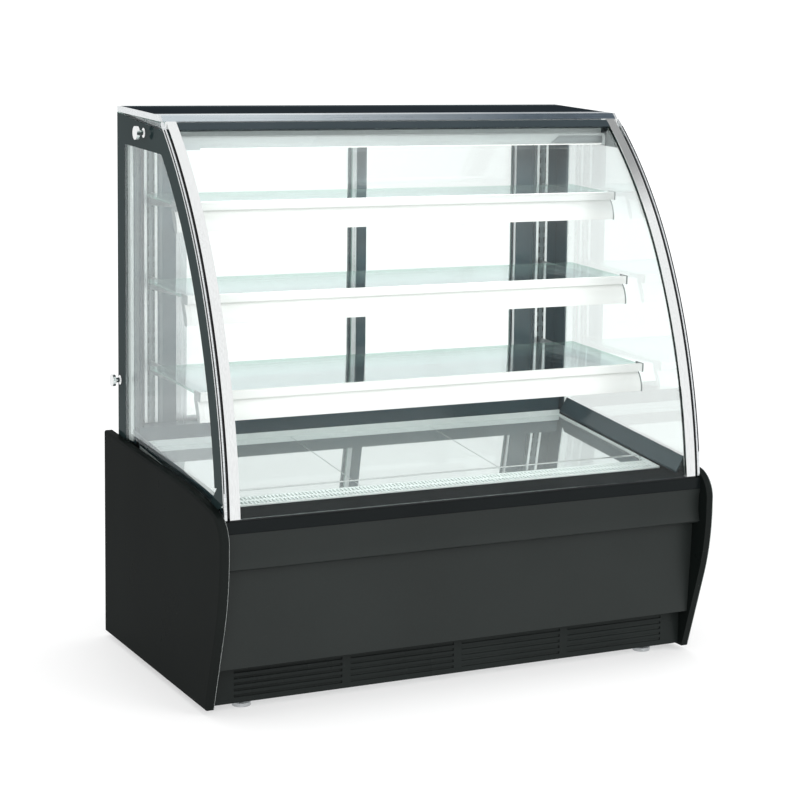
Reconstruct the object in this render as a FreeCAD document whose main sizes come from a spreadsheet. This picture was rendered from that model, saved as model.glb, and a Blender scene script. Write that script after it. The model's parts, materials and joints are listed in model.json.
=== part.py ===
"""Curved-glass refrigerated display showcase, as a parametric FreeCAD document.

Frame: millimetres, +X to the customer's right, +Y to the rear (service side), +Z up. The origin is on the
floor, at the middle of the whole case's footprint. The pieces are drawn about a datum plane midway between
the front foot and the back of the end panels, which lies datum_y behind the origin; keep() moves them there.
Expressions are written with the bare names of the sheet's cells; link() turns them into cell references.
"""
import FreeCAD, Part
import math
import os
import re

import Sketcher

V = FreeCAD.Vector

CELLS = {
    # Whole case
    "length": 1200,
    "depth": 664,
    "total_height": 1250,
    "foot_gap": 12,
    "datum_y": 35,
    # End panel outline, from the nose to the back
    "panel_thick": 20,
    "panel_back_top": 492,
    "panel_crown_y": -162,
    "panel_crown_z": 465,
    "panel_crown_radius": 1400,
    "panel_shoulder_y": -362,
    "panel_shoulder_z": 440,
    "panel_shoulder_radius": 64,
    "panel_nose_y": -420,
    "panel_nose_z": 370,
    "panel_belly_y": -390,
    "panel_belly_z": 184,
    "panel_belly_radius": 530,
    "panel_round": 6,
    # Curved front: two tangent arcs seen from the side, angles measured from vertical
    "low_center_y": 917.7,
    "low_center_z": 318.9,
    "low_radius": 1311,
    "high_radius": 1025,
    "foot_angle": 4.64,
    "blend_angle": 27.2,
    "glass_top_angle": 48.0,
    "rail_foot_angle": 47.5,
    "hinge_angle": 48.6,
    "band_top_angle": 49.0,
    "side_top_angle": 49.15,
    "trim_top_angle": 48.9,
    "hinge_inset": 6,
    # Glass
    "glass_inset": 20.5,
    "side_glass_thick": 6,
    "front_glass_thick": 8,
    "leaf_gap": 6,
    "band_width": 23,
    "band_proud": 1.5,
    "trim_depth": 4,
    "slip": 0.05,
    # Top frame
    "top_rear_y": 285,
    "top_front_y": 7,
    "top_front_drop": 13,
    "top_strip_tall": 13,
    "sheet_thick": 3,
    # Front of the base
    "ledge_z": 421,
    "ledge_back_y": -262,
    "ledge_front_y": -391,
    "bumper_top_z": 396,
    "bumper_low_z": 321,
    "bumper_face_y": -394,
    "bumper_radius": 120,
    "lower_panel_top_y": -366,
    "lower_panel_foot_y": -352,
    "lower_panel_foot_z": 100,
    "kick_y": -318,
    # Base frame and well
    "frame_tube": 30,
    "frame_front_y": -300,
    "frame_rear_y": 300,
    "frame_half": 560,
    "frame_floor_z": 24,
    "frame_wall": 2,
    "foot_radius": 20,
    "foot_thick": 8,
    "foot_stud": 5,
    "well_floor_z": 215,
    "well_top_z": 400,
    "well_wall": 28,
    "well_half": 566,
    "well_front_y": -312,
    "well_rear_y": 250,
    # Deck
    "deck_half": 553,
    "deck_rear_y": 205,
    "deck_slope": 6,
    "deck_frame_rise": 46,
    "deck_rear_foot_z": 414,
    # Shelves
    "shelf_half": 553,
    "shelf_thick": 6,
    "shelf_tilt": 2.5,
    "shelf_upper_y": -41,
    "shelf_upper_z": 1048,
    "shelf_upper_depth": 200,
    "shelf_middle_y": -103,
    "shelf_middle_z": 852,
    "shelf_middle_depth": 256,
    "shelf_lower_y": -181,
    "shelf_lower_z": 653,
    "shelf_lower_depth": 320,
    "standard_x": 500,
    "standard_wide": 32,
    "standard_face_y": 238,
    "slot_pitch": 25,
    # Rear service side
    "post_inner_x": 450,
    "post_face_y": 252,
    "post_side_y": 201,
    "door_bottom_z": 497,
    "door_top_z": 1211,
    "door_outer_x": 452,
    "door_lap": 15,
    "door_thick": 8,
    "door_front_y": 263,
    "door_pitch_y": 12,
    "stile_wide": 32,
    # Machine space
    "fan_radius": 70,
    "fan_y": -20,
    "cond_x": -140,
    "cond_y": -220,
    "cond_fan_radius": 62,
    "comp_x": 315,
    "comp_y": 135,
    "comp_radius": 65,
    "pipe_top_z": 120,
    "pipe_low_z": 60,
    "pipe_turn_x": 60,
    # Service controls and cord
    "control_z": 440,
    "knob_x": -300,
    "switch_x": -380,
    "cord_x": 420,
    "cord_z": 90,
    # Lamp under the top
    "lamp_half": 540,
    "lamp_front_y": -12,
    "lamp_rear_y": 34,
    "lamp_top_z": 1189,
    "lamp_skin": 3,
    # Round glass pins
    "pin_head_radius": 15,
    "pin_front_y": 96,
    "pin_front_z": 1196,
    "pin_rear_y": 266,
    "pin_rear_z": 620,
}

doc = FreeCAD.newDocument("showcase")
sheet = doc.addObject("Spreadsheet::Sheet", "Sheet")
nodes = []


# ---------------------------------------------------------------- sheet and small helpers

def fill_sheet():
    for row, (alias, number) in enumerate(CELLS.items(), 1):
        sheet.set(f"A{row}", alias)
        sheet.set(f"B{row}", str(number))
        sheet.setAlias(f"B{row}", alias)
    doc.recompute()


def link(expression):
    """The expression with every cell name written as a reference to the sheet."""
    def reference(match):
        word = match.group()
        return "Sheet." + word if word in CELLS else word
    return re.sub(r"[a-z_]\w*", reference, str(expression))


def number(expression):
    return float(sheet.evalExpression(str(expression)))


def keep(thing, label):
    """Name a finished sub-part, whose label is its file's name, and move it from the datum to the origin."""
    thing.Label = label
    bound = [formula for path, formula in thing.ExpressionEngine if path.endswith("Placement.Base.y")]
    place = bound[0] if bound else thing.Placement.Base.y
    thing.setExpression("Placement.Base.y", f"{place} + Sheet.datum_y")
    nodes.append(thing)


def both(side, near, far):
    """Start and length along X of a span from near to far, on the right (+1) or the left (-1)."""
    start = near if side > 0 else f"-({far})"
    return start, f"({far}) - ({near})"


def sided(side, expression):
    return expression if side > 0 else f"-({expression})"


# ---------------------------------------------------------------- primitives and booleans

def box(name, x, y, z, dx, dy, dz):
    made = doc.addObject("Part::Box", name)
    for field, size in zip(("Length", "Width", "Height"), (dx, dy, dz)):
        made.setExpression(field, link(size))
    for field, place in zip("xyz", (x, y, z)):
        made.setExpression("Placement.Base." + field, link(place))
    return made


TURNS = {"x": (V(0, 1, 0), 90), "y": (V(1, 0, 0), -90), "z": (V(0, 0, 1), 0)}


def rod(name, axis, x, y, z, radius, length):
    made = doc.addObject("Part::Cylinder", name)
    made.Placement = FreeCAD.Placement(V(), FreeCAD.Rotation(*TURNS[axis]))
    made.setExpression("Radius", link(radius))
    made.setExpression("Height", link(length))
    for field, place in zip("xyz", (x, y, z)):
        made.setExpression("Placement.Base." + field, link(place))
    return made


def fuse(name, parts):
    made = doc.addObject("Part::MultiFuse", name)
    made.Shapes = parts
    return made


def cut(name, base, tool):
    made = doc.addObject("Part::Cut", name)
    made.Base = base
    made.Tool = tool
    return made


def group(name, parts):
    made = doc.addObject("Part::Compound", name)
    made.Links = parts
    return made


# ---------------------------------------------------------------- sketched bodies

def origin_plane(body, role):
    return next(feature for feature in body.Origin.OriginFeatures if feature.Role == role)


def new_sketch(body, name, role, offset="0"):
    made = body.newObject("Sketcher::SketchObject", name)
    made.AttachmentSupport = [(origin_plane(body, role), "")]
    made.MapMode = "FlatFace"
    made.setExpression("AttachmentOffset.Base.z", link(offset))
    return made


def bind(sketch, kind, arguments, expression):
    index = sketch.addConstraint(Sketcher.Constraint(kind, *arguments, number(expression)))
    sketch.renameConstraint(index, f"size_{index}")
    sketch.setExpression(f"Constraints.size_{index}", link(expression))


def segment(start, end, corner):
    """A line, or an arc where the corner holds a radius and a side (+1 bulges right of the walk)."""
    if len(corner) == 2:
        return Part.LineSegment(start, end)
    radius = number(corner[2])
    chord = end - start
    sagitta = radius - math.sqrt(radius ** 2 - chord.Length ** 2 / 4)
    bulge = V(chord.y, -chord.x, 0).normalize() * sagitta * corner[3]
    return Part.Arc(start, (start + end) / 2 + bulge, end)


def draw(sketch, corners):
    """A closed outline: each corner is (u, v), or (u, v, radius, side) when an arc leaves it."""
    points = [V(number(corner[0]), number(corner[1]), 0) for corner in corners]
    following = points[1:] + points[:1]
    drawn = [sketch.addGeometry(segment(*pair), False) for pair in zip(points, following, corners)]
    starts = [1 if sketch.getPoint(edge, 1).distanceToPoint(point) < 1e-6 else 2
              for edge, point in zip(drawn, points)]
    for index, edge in enumerate(drawn):
        after = (index + 1) % len(drawn)
        sketch.addConstraint(Sketcher.Constraint("Coincident", edge, 3 - starts[index],
                                                 drawn[after], starts[after]))
        bind(sketch, "DistanceX", (-1, 1, edge, starts[index]), corners[index][0])
        bind(sketch, "DistanceY", (-1, 1, edge, starts[index]), corners[index][1])
        if len(corners[index]) > 2:
            bind(sketch, "Radius", (edge,), corners[index][2])


def rectangle(u, v, wide, tall):
    return [(u, v), (f"{u} + {wide}", v), (f"{u} + {wide}", f"{v} + {tall}"), (u, f"{v} + {tall}")]


def draw_circle(sketch, u, v, radius):
    circle = Part.Circle(V(number(u), number(v), 0), V(0, 0, 1), number(radius))
    edge = sketch.addGeometry(circle, False)
    bind(sketch, "DistanceX", (-1, 1, edge, 3), u)
    bind(sketch, "DistanceY", (-1, 1, edge, 3), v)
    bind(sketch, "Radius", (edge,), radius)


def pad(body, sketch, length):
    made = body.newObject("PartDesign::Pad", sketch.Name + "_pad")
    made.Profile = sketch
    made.setExpression("Length", link(length))
    return made


def pocket(body, sketch, length, reverse=False):
    made = body.newObject("PartDesign::Pocket", sketch.Name + "_pocket")
    made.Profile = sketch
    made.Reversed = reverse
    made.setExpression("Length", link(length))
    return made


def prism(name, role, corners, offset, length):
    """A body padded from one closed outline, starting at offset along the plane's normal."""
    body = doc.addObject("PartDesign::Body", name)
    sketch = new_sketch(body, name + "_outline", role, offset)
    draw(sketch, corners)
    pad(body, sketch, length)
    return body


def along_x(name, corners, start, length):
    return prism(name, "YZ_Plane", corners, start, length)


def along_y(name, corners, start, length):
    """The XZ plane faces -Y, so the pad begins at its rear end and runs forward."""
    return prism(name, "XZ_Plane", corners, f"-({start}) - ({length})", length)


def along_z(name, corners, start, length):
    return prism(name, "XY_Plane", corners, start, length)


def pattern(body, feature, axis_role, length, count):
    made = body.newObject("PartDesign::LinearPattern", feature.Name + "_row")
    made.Originals = [feature]
    made.Direction = (origin_plane(body, axis_role), [""])
    made.setExpression("Length", link(length))
    made.Occurrences = count
    body.Tip = made
    return made


def rounded(body, edges, radius):
    base = body.Tip
    made = body.newObject("PartDesign::Fillet", body.Name + "_round")
    made.Base = (base, edges)
    made.setExpression("Radius", link(radius))
    return made


def tilt(thing, y, z, angle):
    """Place a piece modelled in a local level frame: moved to y, z and turned about X."""
    thing.Placement = FreeCAD.Placement(V(), FreeCAD.Rotation(V(1, 0, 0), number(angle)))
    thing.setExpression("Placement.Base.y", link(y))
    thing.setExpression("Placement.Base.z", link(z))
    thing.setExpression("Placement.Rotation.Angle", link(angle))
    return thing


# ---------------------------------------------------------------- curved front geometry

def low_point(angle, inset):
    """A point of the lower arc, moved inwards by inset."""
    reach = f"(low_radius - ({inset}))"
    return f"low_center_y - {reach} * cos({angle})", f"low_center_z + {reach} * sin({angle})"


def high_point(angle, inset):
    """A point of the upper arc, which meets the lower one tangentially at blend_angle."""
    shift = "(low_radius - high_radius)"
    reach = f"(high_radius - ({inset}))"
    y = f"low_center_y - {shift} * cos(blend_angle) - {reach} * cos({angle})"
    z = f"low_center_z + {shift} * sin(blend_angle) + {reach} * sin({angle})"
    return y, z


def curved_outline(outer, inner, foot, top):
    """A strip that follows the curved front between two insets and two angles."""
    return [
        low_point(foot, outer) + (f"low_radius - ({outer})", -1),
        high_point("blend_angle", outer) + (f"high_radius - ({outer})", -1),
        high_point(top, outer),
        high_point(top, inner) + (f"high_radius - ({inner})", 1),
        low_point("blend_angle", inner) + (f"low_radius - ({inner})", 1),
        low_point(foot, inner),
    ]


SIDE_OUT = "length / 2 - glass_inset"
SIDE_IN = f"{SIDE_OUT} - side_glass_thick"
LEAF_HALF = f"{SIDE_IN} - leaf_gap"


# ---------------------------------------------------------------- base cabinet

def panel_outline():
    return [
        ("-depth / 2", "foot_gap"),
        ("depth / 2", "foot_gap"),
        ("depth / 2", "panel_back_top"),
        ("panel_crown_y", "panel_crown_z", "panel_crown_radius", 1),
        ("panel_shoulder_y", "panel_shoulder_z", "panel_shoulder_radius", 1),
        ("panel_nose_y", "panel_nose_z", "panel_belly_radius", 1),
        ("panel_belly_y", "panel_belly_z"),
    ]


def side_panels():
    for side, word in ((-1, "left"), (1, "right")):
        name = f"side_panel_{word}"
        body = along_x(name, panel_outline(), *both(side, "length / 2 - panel_thick", "length / 2"))
        doc.recompute()
        outer_x = side * number("length / 2")
        rim = [f"Edge{index}" for index, edge in enumerate(body.Shape.Edges, 1)
               if edge.BoundBox.XLength < 1e-6 and abs(edge.BoundBox.XMin - outer_x) < 1e-6]
        rounded(body, rim, "panel_round")
        keep(body, name)


def base_frame():
    tube = "frame_tube"
    skin = fuse("frame_skin", frame_members("skin", "0"))
    hollow = fuse("frame_hollow", frame_members("hollow", "frame_wall"))
    bores = [rod(f"foot_bore_{x_word}_{y_word}", "z", x, y, "frame_floor_z", "foot_stud + slip", tube)
             for x_word, x in FOOT_X.items() for y_word, y in FOOT_Y.items()]
    keep(cut("base_frame_cut", skin, fuse("frame_tools", [hollow] + bores)), "base_frame")


def frame_members(word, inset):
    """The frame's twelve members, each drawn smaller all round by inset: at zero the skin, else the hollow."""
    across = f"frame_tube - 2 * {inset}"
    wide = f"2 * frame_half - 2 * {inset}"
    deep = f"frame_rear_y - frame_front_y - 2 * {inset}"
    rise = f"well_floor_z - frame_floor_z - 2 * {inset}"
    xs = {"left": f"-frame_half + {inset}", "right": f"frame_half - frame_tube + {inset}"}
    ys = {"front": f"frame_front_y + {inset}", "rear": f"frame_rear_y - frame_tube + {inset}"}
    zs = {"low": f"frame_floor_z + {inset}", "high": f"well_floor_z - frame_tube + {inset}"}
    members = []
    for level, z in zs.items():
        for place, y in ys.items():
            members.append(box(f"{word}_rail_{level}_{place}", xs["left"], y, z, wide, across, across))
        for place, x in xs.items():
            members.append(box(f"{word}_cross_{level}_{place}", x, ys["front"], z, across, deep, across))
    for x_word, x in xs.items():
        for y_word, y in ys.items():
            members.append(box(f"{word}_upright_{x_word}_{y_word}", x, y, zs["low"], across, across, rise))
    return members


FOOT_X = {"left": "-frame_half + 2 * frame_tube", "right": "frame_half - 2 * frame_tube"}
FOOT_Y = {"front": "frame_front_y + frame_tube / 2", "rear": "frame_rear_y - frame_tube / 2"}


def feet():
    for x_word, x in FOOT_X.items():
        for y_word, y in FOOT_Y.items():
            name = f"foot_{y_word}_{x_word}"
            pad_disc = rod(name + "_pad", "z", x, y, "0", "foot_radius", "foot_thick")
            stud = rod(name + "_stud", "z", x, y, "foot_thick", "foot_stud", "40")
            keep(fuse(name + "_fused", [pad_disc, stud]), name)


def front_rail():
    outline = [
        ("ledge_back_y", "ledge_z"),
        ("ledge_front_y", "ledge_z"),
        ("ledge_front_y - 5", "bumper_top_z + 1"),
        ("ledge_front_y", "bumper_top_z + 1"),
        ("ledge_front_y + 4", "ledge_z - 5"),
        ("ledge_back_y", "ledge_z - 5"),
    ]
    keep(front_strip("front_rail_body", outline), "front_rail")


def front_strip(name, outline):
    """A front member that spans between the end panels."""
    return along_x(name, outline, "-length / 2 + panel_thick + 0.5", "length - 2 * panel_thick - 1")


def front_bumper():
    skin = "sheet_thick"
    outline = [
        ("bumper_face_y", "bumper_top_z", "bumper_radius", -1),
        ("bumper_face_y", "bumper_low_z"),
        ("bumper_face_y + 8", "bumper_low_z - 5"),
        ("lower_panel_top_y + 4", "bumper_low_z - 5"),
        ("lower_panel_top_y + 4", f"bumper_low_z - 5 + {skin}"),
        (f"bumper_face_y + 8 + {skin}", f"bumper_low_z - 5 + {skin}"),
        (f"bumper_face_y + {skin}", f"bumper_low_z + {skin}", f"bumper_radius - {skin}", 1),
        (f"bumper_face_y + {skin}", "bumper_top_z"),
    ]
    keep(front_strip("front_bumper_body", outline), "front_bumper")


def lower_front_panel():
    skin = "sheet_thick"
    top = "bumper_low_z - 6"
    foot = "lower_panel_foot_z"
    outline = [
        ("lower_panel_top_y", top),
        ("lower_panel_foot_y", foot),
        ("kick_y + sheet_thick", foot),
        ("kick_y + sheet_thick", f"{foot} + {skin}"),
        (f"lower_panel_foot_y + {skin}", f"{foot} + {skin}"),
        (f"lower_panel_top_y + {skin}", top),
    ]
    keep(front_strip("front_panel_body", outline), "front_panel")


def louvred_plate(name, y_face, thick, low, high, columns, slot, rows):
    """An upright plate facing -Y with rows of wide slots, split in columns by mullions."""
    wide = "length - 2 * panel_thick - 1"
    body = along_y(name, rectangle("-length / 2 + panel_thick + 0.5", low, wide, f"({high}) - ({low})"),
                   y_face, thick)
    first, pitch, tall, column_wide, column_pitch = slot
    sketch = new_sketch(body, name + "_slots", "XZ_Plane", f"-({y_face})")
    for column in range(columns):
        shift = column - (columns - 1) / 2
        draw(sketch, rectangle(f"{shift} * {column_pitch} - {column_wide} / 2", first, column_wide, tall))
    slots = pocket(body, sketch, thick)
    pattern(body, slots, "Z_Axis", f"{pitch} * {rows - 1}", rows)
    return body


def kick_and_rear():
    kick = louvred_plate("kick_body", "kick_y", "sheet_thick", "foot_gap + 4", "lower_panel_foot_z - 1", 4,
                         ("foot_gap + 16", "13", "6", "250", "270"), 5)
    keep(kick, "kick_grille")
    rear = louvred_plate("rear_body", "frame_rear_y + 16", "sheet_thick", "foot_gap + 4", "panel_back_top - 22",
                         3, ("60", "16", "7", "300", "340"), 9)
    keep(rear, "rear_panel")


def rear_ledge():
    outline = [
        ("post_face_y - 2", "panel_back_top - 12"),
        ("frame_rear_y + 19", "panel_back_top - 12"),
        ("frame_rear_y + 19", "panel_back_top - 20"),
        ("frame_rear_y + 16", "panel_back_top - 20"),
        ("frame_rear_y + 16", "panel_back_top - 15"),
        ("post_face_y - 2", "panel_back_top - 15"),
    ]
    half = f"({SIDE_IN} - 0.2)"
    keep(along_x("rear_ledge_body", outline, f"-{half}", f"2 * {half}"), "rear_ledge")


# ---------------------------------------------------------------- cold well and deck

def well_tub():
    wall = "well_wall"
    outer = box("well_outer", "-well_half", "well_front_y", "well_floor_z", "2 * well_half",
                "well_rear_y - well_front_y", "well_top_z - well_floor_z")
    inner = box("well_inner", f"-well_half + {wall}", f"well_front_y + {wall}", f"well_floor_z + {wall}",
                f"2 * (well_half - {wall})", f"well_rear_y - well_front_y - 2 * {wall}",
                "well_top_z - well_floor_z")
    keep(cut("well_cut", outer, inner), "well_tub")


FAN_Z = "well_floor_z + well_wall + 78"


def evaporator():
    fins = 24
    floor = "well_floor_z + well_wall + 10"
    pack = [box(f"evap_fin_{index}", f"-330 + {index} * 660 / {fins - 1} - 1", "40", floor, "2", "120", "110")
            for index in range(fins)]
    tubes = [rod(f"evap_tube_{row}_{line}", "x", "-345", f"70 + {row} * 60", f"{floor} + 20 + {line} * 35",
                 "5", "690") for row in range(2) for line in range(3)]
    keep(fuse("evaporator_fused", pack + tubes), "evaporator_coil")
    plate = box("fan_plate_sheet", "-400", "fan_y + 16", "well_floor_z + well_wall + 0.5", "800", "2", "142")
    hole = rod("fan_hole", "y", "0", "fan_y + 14", FAN_Z, "fan_radius - 4", "6")
    keep(cut("fan_plate_cut", plate, hole), "evaporator_fan_plate")
    keep(axial_fan("evaporator_fan_wheel", "0", "fan_y", FAN_Z, "fan_radius - 8"), "evaporator_fan")


def axial_fan(name, x, y, z, radius):
    """Hub and five pitched blades about the origin, moved as a whole; y is the hub's front face."""
    hub = rod(name + "_hub", "y", "0", "0", "0", "18", "12")
    blades = []
    for index in range(5):
        blade = doc.addObject("Part::Box", f"{name}_blade_{index}")
        blade.setExpression("Length", link(f"{radius} - 14"))
        blade.setExpression("Width", "2")
        blade.setExpression("Height", "30")
        pitched = FreeCAD.Placement(V(14, 5, -15), FreeCAD.Rotation(V(1, 0, 0), 20), V(0, 1, 15))
        spin = FreeCAD.Rotation(V(0, 1, 0), index * 72)
        blade.Placement = FreeCAD.Placement(V(), spin).multiply(pitched)
        blades.append(blade)
    wheel = fuse(name + "_wheel", [hub] + blades)
    for field, place in zip("xyz", (x, y, z)):
        wheel.setExpression("Placement.Base." + field, link(place))
    return wheel


DECK_LONG = "((deck_rear_y - ledge_back_y) / cos(deck_slope))"


def on_deck(thing):
    """Place a piece modelled level, behind the ledge's rear edge, on the sloping plane of the deck."""
    return tilt(thing, "ledge_back_y", "ledge_z", "deck_slope")


def deck():
    keep(on_deck(liner_shape()), "deck_liner")
    plates = [box(f"deck_plate_{index}", f"-deck_half + 1 + {index} * (2 * deck_half - 2) / 3 + 1", "62",
                  "-1.5", "(2 * deck_half - 2) / 3 - 2", f"{DECK_LONG} - 66", "2") for index in range(3)]
    keep(on_deck(group("deck_plate_set", plates)), "deck_plates")
    keep(on_deck(air_grille()), "air_grille")
    frames = [deck_frame(side) for side in (-1, 1)]
    keep(group("deck_frame_pair", frames), "deck_frames")
    keep(deck_rear_wall(), "deck_rear_wall")
    keep(on_deck(wire_guard()), "wire_guard")


def liner_shape():
    """A pressed pan: floor, low side walls and a rear upstand."""
    floor = box("liner_floor", "-deck_half - 3", "2", "-4", "2 * deck_half + 6", f"{DECK_LONG} - 2", "2")
    walls = [box(f"liner_wall_{word}", start, "2", "-4", wide, f"{DECK_LONG} - 2", "8")
             for word, (start, wide) in (("left", both(-1, "deck_half", "deck_half + 3")),
                                         ("right", both(1, "deck_half", "deck_half + 3")))]
    upstand = box("liner_upstand", "-deck_half - 3", f"{DECK_LONG} - 2", "-4", "2 * deck_half + 6", "2", "18")
    return fuse("liner_fused", [floor, upstand] + walls)


def air_grille():
    body = along_z("grille_body", rectangle("-deck_half + 1", "3", "2 * deck_half - 2", "56"), "-1", "3")
    sketch = new_sketch(body, "grille_slots", "XY_Plane", "2")
    draw(sketch, rectangle("-deck_half + 12", "8", "5", "20"))
    draw(sketch, rectangle("-deck_half + 12", "34", "5", "20"))
    slots = pocket(body, sketch, "3")
    pattern(body, slots, "X_Axis", "2 * deck_half - 29", 120)
    return body


def deck_frame(side):
    """A steep cover strip under the side glass, modelled level and then tilted to the rear."""
    word = "right" if side > 0 else "left"
    inner = "deck_half + 3.5"
    outer = f"{SIDE_IN} - 0.5"
    corners = [
        (sided(side, outer), "deck_frame_rise"),
        (sided(side, inner), "12"),
        (sided(side, inner), "8"),
        (sided(side, f"{inner} + 3"), "8"),
        (sided(side, f"{inner} + 3"), "11"),
        (sided(side, outer), "deck_frame_rise - 7"),
    ]
    if side < 0:
        corners = corners[::-1]
    reach = "(post_side_y - ledge_back_y) / cos(deck_slope)"
    return on_deck(along_y(f"deck_frame_{word}", corners, "-66", f"{reach} + 66"))


def deck_rear_wall():
    top = "ledge_z + deck_frame_rise + (deck_rear_y - ledge_back_y) * tan(deck_slope)"
    outline = [
        ("deck_rear_y + 1", "deck_rear_foot_z"),
        ("deck_rear_y + 4", "deck_rear_foot_z"),
        ("deck_rear_y + 4", f"{top} - 4"),
        ("post_face_y - 4", f"{top} - 4"),
        ("post_face_y - 4", top),
        ("deck_rear_y + 1", top),
    ]
    return along_x("deck_rear_body", outline, "-deck_half - 2", "2 * deck_half + 4")


def wire_guard():
    """A bent wire that stands behind the air grille and keeps trays off its slots."""
    body = doc.addObject("PartDesign::Body", "wire_body")
    path = new_sketch(body, "wire_path", "XZ_Plane", "-62")
    half = "deck_half - 14"
    low = "2.6"
    bend = "8"
    high = "15"
    points = [
        (f"-({half})", low), (f"-({half})", f"{high} - {bend}"), (f"-({half}) + {bend}", high),
        (f"{half} - {bend}", high), (half, f"{high} - {bend}"), (half, low),
    ]
    draw_path(path, points, {1, 3})
    profile = new_sketch(body, "wire_section", "XY_Plane", low)
    draw_circle(profile, f"-({half})", "62", "1.6")
    pipe = body.newObject("PartDesign::AdditivePipe", "wire_pipe")
    pipe.Profile = profile
    pipe.Spine = path
    return body


def draw_path(sketch, points, rounds):
    """An open run of straight lines with quarter bends at the numbered stretches."""
    places = [V(number(point[0]), number(point[1]), 0) for point in points]
    for index, (start, end) in enumerate(zip(places, places[1:])):
        if index in rounds:
            chord = end - start
            bulge = V(-chord.y, chord.x, 0).normalize() * chord.Length * (math.sqrt(2) - 1) / 2
            sketch.addGeometry(Part.Arc(start, (start + end) / 2 + bulge, end), False)
        else:
            sketch.addGeometry(Part.LineSegment(start, end), False)


# ---------------------------------------------------------------- machine space

def machine_space():
    tray = box("tray_sheet", "-frame_half + frame_tube + 2", "frame_front_y + frame_tube + 2",
               "frame_floor_z + 4", "2 * (frame_half - frame_tube) - 4",
               "frame_rear_y - frame_front_y - 2 * frame_tube - 4", "2")
    keep(tray, "machine_tray")
    keep(compressor(), "compressor")
    condenser()
    keep(refrigerant_pipes(), "refrigerant_pipes")
    controls()


def compressor():
    """Hermetic can on a foot plate, with its terminal box on the right."""
    base = "frame_floor_z + 6"
    foot = box("comp_foot", "comp_x - 85", "comp_y - 75", base, "170", "150", "6")
    can = rod("comp_can", "z", "comp_x", "comp_y", f"{base} + 6", "comp_radius", "90")
    cap = rod("comp_cap", "z", "comp_x", "comp_y", f"{base} + 96", "comp_radius - 17", "18")
    terminal = box("comp_terminal", "comp_x + comp_radius - 10", "comp_y - 20", f"{base} + 44",
                   "28", "40", "34")
    return fuse("compressor_fused", [foot, can, cap, terminal])


COND_Z = "frame_floor_z + 80"


def condenser():
    fins = 18
    floor = "frame_floor_z + 8"
    pack = [box(f"cond_fin_{index}", f"cond_x - 100 + {index} * 200 / {fins - 1} - 1", "-250", floor,
                "2", "60", "140") for index in range(fins)]
    tubes = [rod(f"cond_tube_{row}_{line}", "x", f"cond_x - 112", f"-235 + {row} * 30",
                 f"{floor} + 20 + {line} * 33", "4.5", "224") for row in range(2) for line in range(4)]
    keep(fuse("condenser_fused", pack + tubes), "condenser_coil")
    shell = box("shroud_outer", f"cond_x - 104", "-188", floor, "208", "50", "144")
    front = box("shroud_inner", f"cond_x - 101", "-189", f"{floor} + 3", "202", "47", "138")
    hole = rod("shroud_hole", "y", "cond_x", "-150", COND_Z, "cond_fan_radius + 4", "20")
    keep(cut("shroud_cut", shell, fuse("shroud_tools", [front, hole])), "condenser_shroud")
    keep(axial_fan("condenser_fan_wheel", "cond_x", "-136", COND_Z, "cond_fan_radius"), "condenser_fan")


def refrigerant_pipes():
    """Discharge line, from the can to the condenser's last tube, and suction line, from the can to the well."""
    front = "comp_y - comp_radius"
    rear = "comp_y + comp_radius"
    runs = pipe_line("discharge", "4", [
        ("comp_x", front, "pipe_top_z"), ("comp_x", f"{front} - 40", "pipe_top_z"),
        ("comp_x", f"{front} - 40", "pipe_low_z"), ("pipe_turn_x", f"{front} - 40", "pipe_low_z"),
        ("pipe_turn_x", "cond_y", "pipe_low_z"), ("cond_x + 114", "cond_y", "pipe_low_z")])
    runs += pipe_line("suction", "5", [
        ("comp_x - 15", rear, "pipe_top_z"), ("comp_x - 15", f"{rear} + 32", "pipe_top_z"),
        ("comp_x - 15", f"{rear} + 32", "pipe_top_z + 60"),
        ("comp_x + 105", f"{rear} + 32", "pipe_top_z + 60")])
    return fuse("pipes_fused", runs)


def pipe_line(word, radius, corners):
    """Straight round runs between corners, with a ball at the end of each."""
    places = [V(*map(number, corner)) for corner in corners]
    runs = []
    for index, (start, end) in enumerate(zip(places, places[1:])):
        run = doc.addObject("Part::Cylinder", f"{word}_run_{index}")
        run.setExpression("Radius", radius)
        run.Height = (end - start).Length
        run.Placement = FreeCAD.Placement(start, FreeCAD.Rotation(V(0, 0, 1), end - start))
        ball = doc.addObject("Part::Sphere", f"{word}_ball_{index}")
        ball.setExpression("Radius", radius)
        for field, place in zip("xyz", corners[index + 1]):
            ball.setExpression("Placement.Base." + field, link(place))
        runs += [run, ball]
    return runs


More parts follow.
